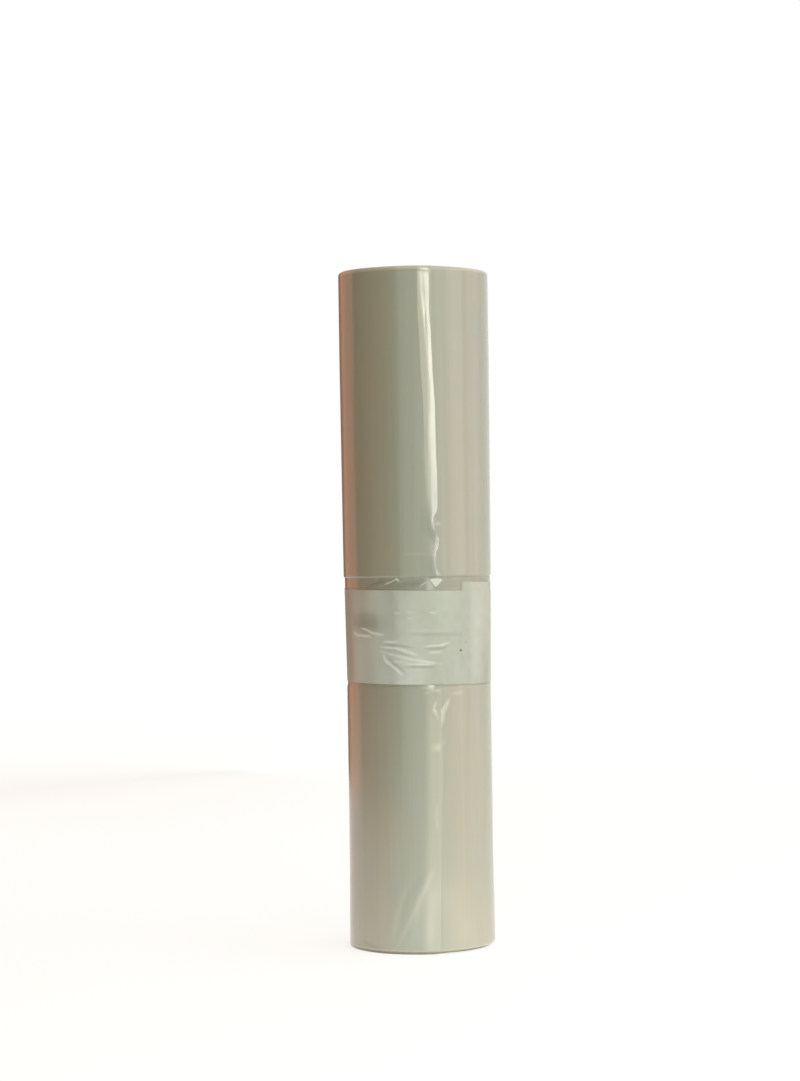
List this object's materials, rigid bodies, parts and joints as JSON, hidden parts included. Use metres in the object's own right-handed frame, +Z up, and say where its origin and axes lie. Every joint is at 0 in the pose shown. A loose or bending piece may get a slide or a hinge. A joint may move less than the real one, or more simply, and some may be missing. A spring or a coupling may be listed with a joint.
{
  "type": "bin bag roll",
  "caption": "Upright coreless roll of translucent bin bags, held round its middle by a white paper strip under a wider clear tape.",
  "frame": {"origin": "centre of the bottom end of the roll, on its axis", "axes": "+Z up along the roll's axis, from the narrow end to the wide end; -Y is the front, where the last bag's free margin shows"},
  "size_m": [0.0668, 0.0668, 0.3],
  "materials": {
    "bag_film": "satin, milky translucent film in many turns",
    "paper": "matt, slightly creased",
    "tape": "clear, glossy, wrinkled"
  },
  "bodies": {
    "root": {"bag_roll": "bag_film", "paper_strip": "paper", "clear_tape": "tape"}
  },
  "joints": []
}
